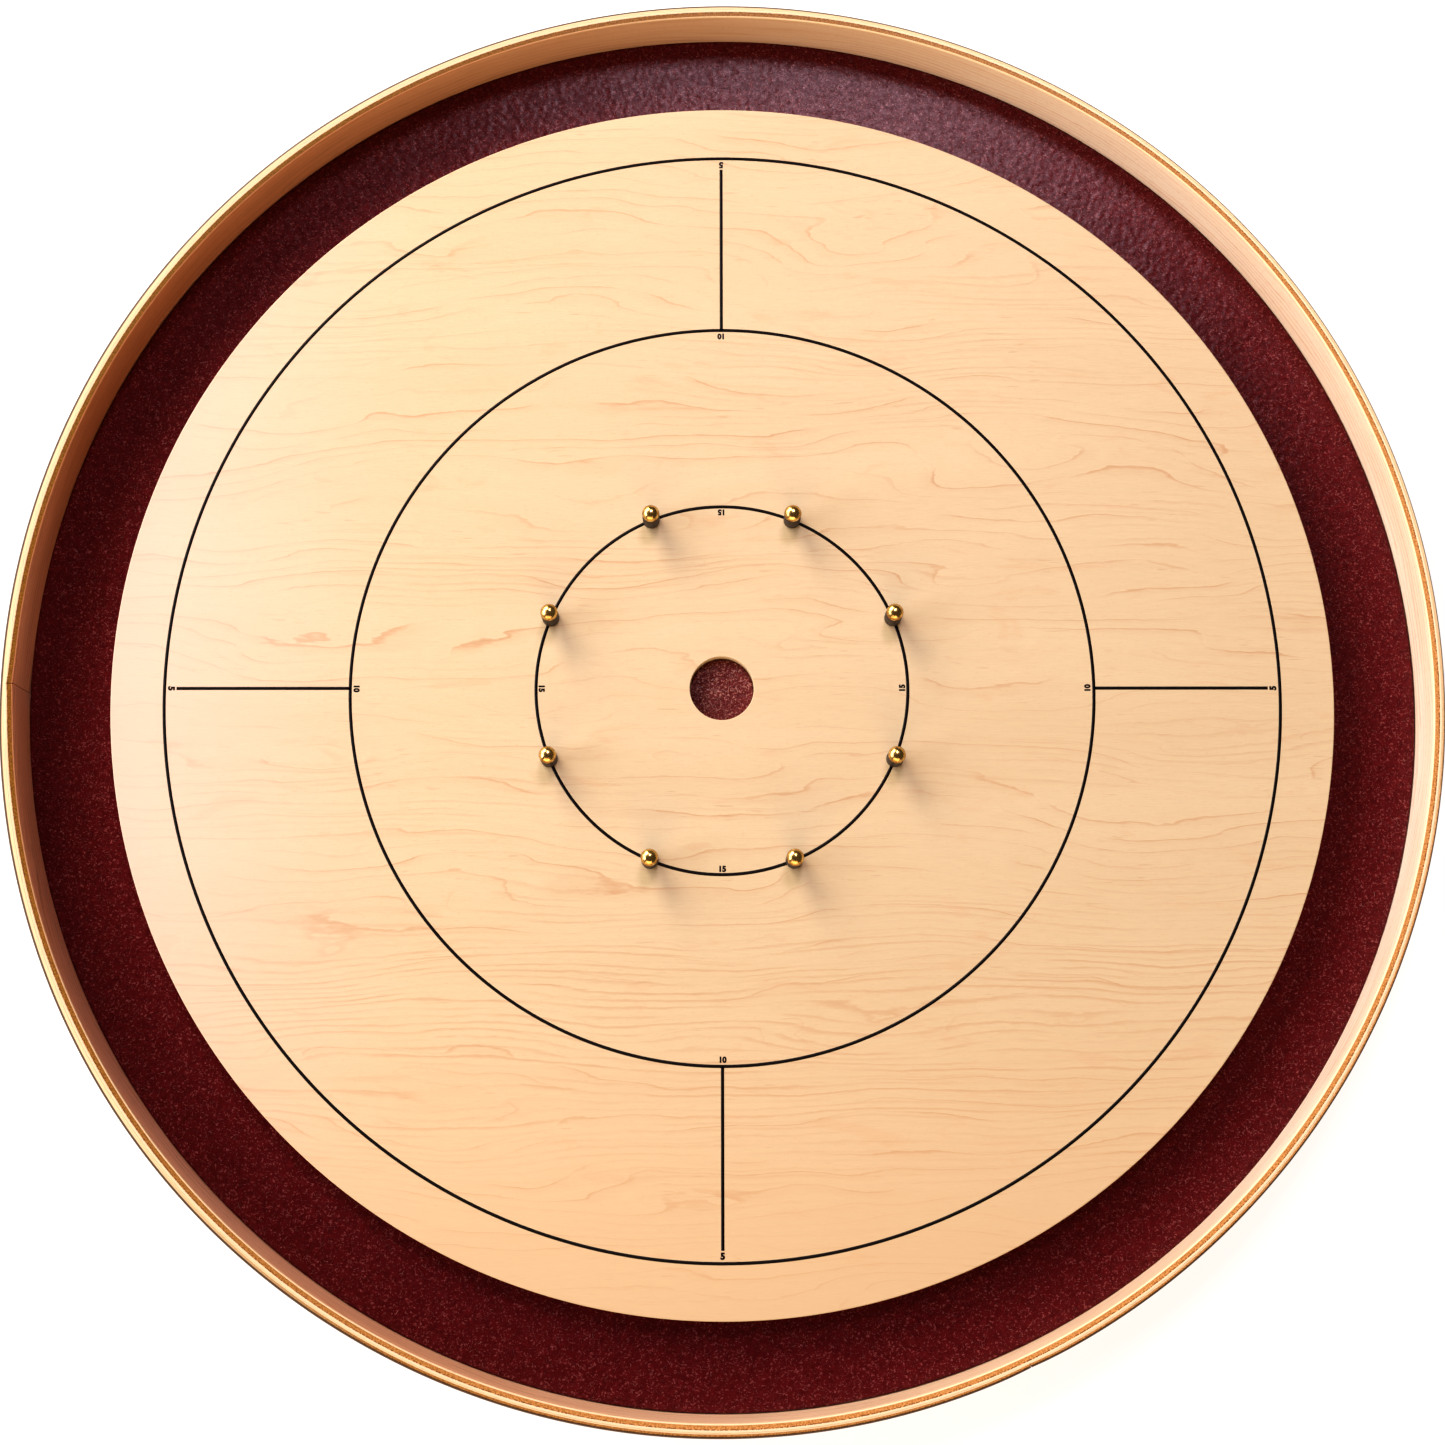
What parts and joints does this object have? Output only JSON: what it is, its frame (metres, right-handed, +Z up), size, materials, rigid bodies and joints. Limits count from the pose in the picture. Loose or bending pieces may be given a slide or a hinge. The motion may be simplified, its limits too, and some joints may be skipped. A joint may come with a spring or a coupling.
{
  "type": "crokinole board",
  "caption": "Round wooden flicking-game board with a sunken felt ditch, raised playing disc, centre hole, ring of rubber-cushioned brass pegs and a bent plywood rim.",
  "frame": {"origin": "on the table under the middle of the board", "axes": "+Z up through the centre hole, +Y towards the far player, +X to the near player's right; the pegs lie 22.5 degrees off the axes"},
  "size_m": [0.7794, 0.7794, 0.0566],
  "materials": {
    "maple_veneer": "satin lacquered maple veneer",
    "birch_plywood": "sanded plywood",
    "bent_plywood": "satin lacquered bent plywood, plies showing on the edge",
    "burgundy_felt": "napped felt",
    "polished_brass": "polished",
    "bumper_rubber": "matt tube",
    "foot_rubber": "matt moulded",
    "zinc_plated_steel": "zinc plated"
  },
  "bodies": {
    "board": {"base_panel": "birch_plywood", "playing_surface": "maple_veneer", "ditch_felt": "burgundy_felt", "centre_hole_felt": "burgundy_felt", "rim_inner_band": "bent_plywood", "rim_outer_band": "bent_plywood", "peg_post_1": "polished_brass", "peg_post_2": "polished_brass", "peg_post_3": "polished_brass", "peg_post_4": "polished_brass", "peg_post_5": "polished_brass", "peg_post_6": "polished_brass", "peg_post_7": "polished_brass", "peg_post_8": "polished_brass", "deck_screw_1": "zinc_plated_steel", "deck_screw_2": "zinc_plated_steel", "deck_screw_3": "zinc_plated_steel", "deck_screw_4": "zinc_plated_steel", "deck_screw_5": "zinc_plated_steel", "deck_screw_6": "zinc_plated_steel", "foot_1": "foot_rubber", "foot_2": "foot_rubber", "foot_3": "foot_rubber", "foot_4": "foot_rubber", "foot_screw_1": "zinc_plated_steel", "foot_screw_2": "zinc_plated_steel", "foot_screw_3": "zinc_plated_steel", "foot_screw_4": "zinc_plated_steel"},
    "bumper_1": {"peg_bumper_1": "bumper_rubber"},
    "bumper_2": {"peg_bumper_2": "bumper_rubber"},
    "bumper_3": {"peg_bumper_3": "bumper_rubber"},
    "bumper_4": {"peg_bumper_4": "bumper_rubber"},
    "bumper_5": {"peg_bumper_5": "bumper_rubber"},
    "bumper_6": {"peg_bumper_6": "bumper_rubber"},
    "bumper_7": {"peg_bumper_7": "bumper_rubber"},
    "bumper_8": {"peg_bumper_8": "bumper_rubber"}
  },
  "joints": [
    {"name": "bumper_1_turn", "type": "hinge", "parent": "board", "child": "bumper_1", "pos_m": [0.09387, 0.03888, 0.0434], "axis": [0, 0, 1], "continuous": true},
    {"name": "bumper_2_turn", "type": "hinge", "parent": "board", "child": "bumper_2", "pos_m": [0.03888, 0.09387, 0.0434], "axis": [0, 0, 1], "continuous": true},
    {"name": "bumper_3_turn", "type": "hinge", "parent": "board", "child": "bumper_3", "pos_m": [-0.03888, 0.09387, 0.0434], "axis": [0, 0, 1], "continuous": true},
    {"name": "bumper_4_turn", "type": "hinge", "parent": "board", "child": "bumper_4", "pos_m": [-0.09387, 0.03888, 0.0434], "axis": [0, 0, 1], "continuous": true},
    {"name": "bumper_5_turn", "type": "hinge", "parent": "board", "child": "bumper_5", "pos_m": [-0.09387, -0.03888, 0.0434], "axis": [0, 0, 1], "continuous": true},
    {"name": "bumper_6_turn", "type": "hinge", "parent": "board", "child": "bumper_6", "pos_m": [-0.03888, -0.09387, 0.0434], "axis": [0, 0, 1], "continuous": true},
    {"name": "bumper_7_turn", "type": "hinge", "parent": "board", "child": "bumper_7", "pos_m": [0.03888, -0.09387, 0.0434], "axis": [0, 0, 1], "continuous": true},
    {"name": "bumper_8_turn", "type": "hinge", "parent": "board", "child": "bumper_8", "pos_m": [0.09387, -0.03888, 0.0434], "axis": [0, 0, 1], "continuous": true}
  ]
}
